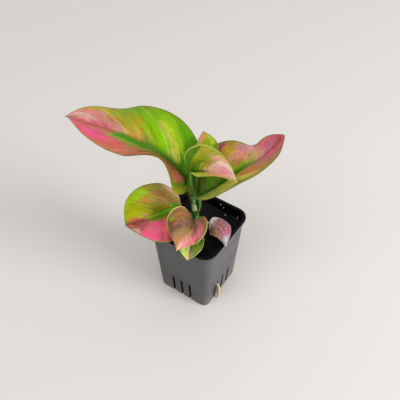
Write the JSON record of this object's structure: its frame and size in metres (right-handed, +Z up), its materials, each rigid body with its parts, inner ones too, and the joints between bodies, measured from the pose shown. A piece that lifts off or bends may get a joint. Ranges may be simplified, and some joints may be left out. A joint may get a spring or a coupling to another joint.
{
  "type": "potted chinese evergreen",
  "caption": "Young aglaonema with broad pink and lime-green leaves on a short green stem, in dark soil in a tapered square plastic nursery pot with drain slits.",
  "frame": {"origin": "middle of the flat underside of the pot, on the surface that it stands on", "axes": "+Z up the pot; X and Y square to the pot's four sides, with the longest leaf reaching towards -X"},
  "size_m": [0.1729, 0.1124, 0.1856],
  "materials": {
    "pot_plastic": "thin satin dark-grey thermoformed plastic",
    "soil": "moist dark peat and coir mix with white perlite grains",
    "stem": "smooth fleshy green stem with pale lines and old leaf scars",
    "root": "fleshy yellowish root",
    "dry_sheath": "papery dry leaf base",
    "leaf_upper_left": "waxy leaf, lime green with a pink tip and lower half",
    "leaf_right": "waxy leaf, mauve and olive with a magenta tip and green midrib",
    "leaf_young": "waxy young leaf, green inside with a pale pink tip and yellow-green edge",
    "leaf_back": "waxy leaf, one half lime green and one half pink",
    "leaf_lower_left": "waxy round leaf, olive-lime and magenta halves",
    "leaf_front": "waxy heart-shaped leaf, brown-olive and pink with a tan edge",
    "leaf_front_green": "waxy lime-green leaf with a pale yellow edge",
    "leaf_withered": "dry papery leaf, mauve and tan with pale veins"
  },
  "bodies": {
    "root": {"pot": "pot_plastic", "soil": "soil", "stem": "stem", "root": "root", "dry_sheath": "dry_sheath", "leaf_upper_left": "leaf_upper_left", "leaf_right": "leaf_right", "leaf_young": "leaf_young", "leaf_back": "leaf_back", "leaf_lower_left": "leaf_lower_left", "leaf_front": "leaf_front", "leaf_front_green": "leaf_front_green", "leaf_withered": "leaf_withered"}
  },
  "joints": []
}
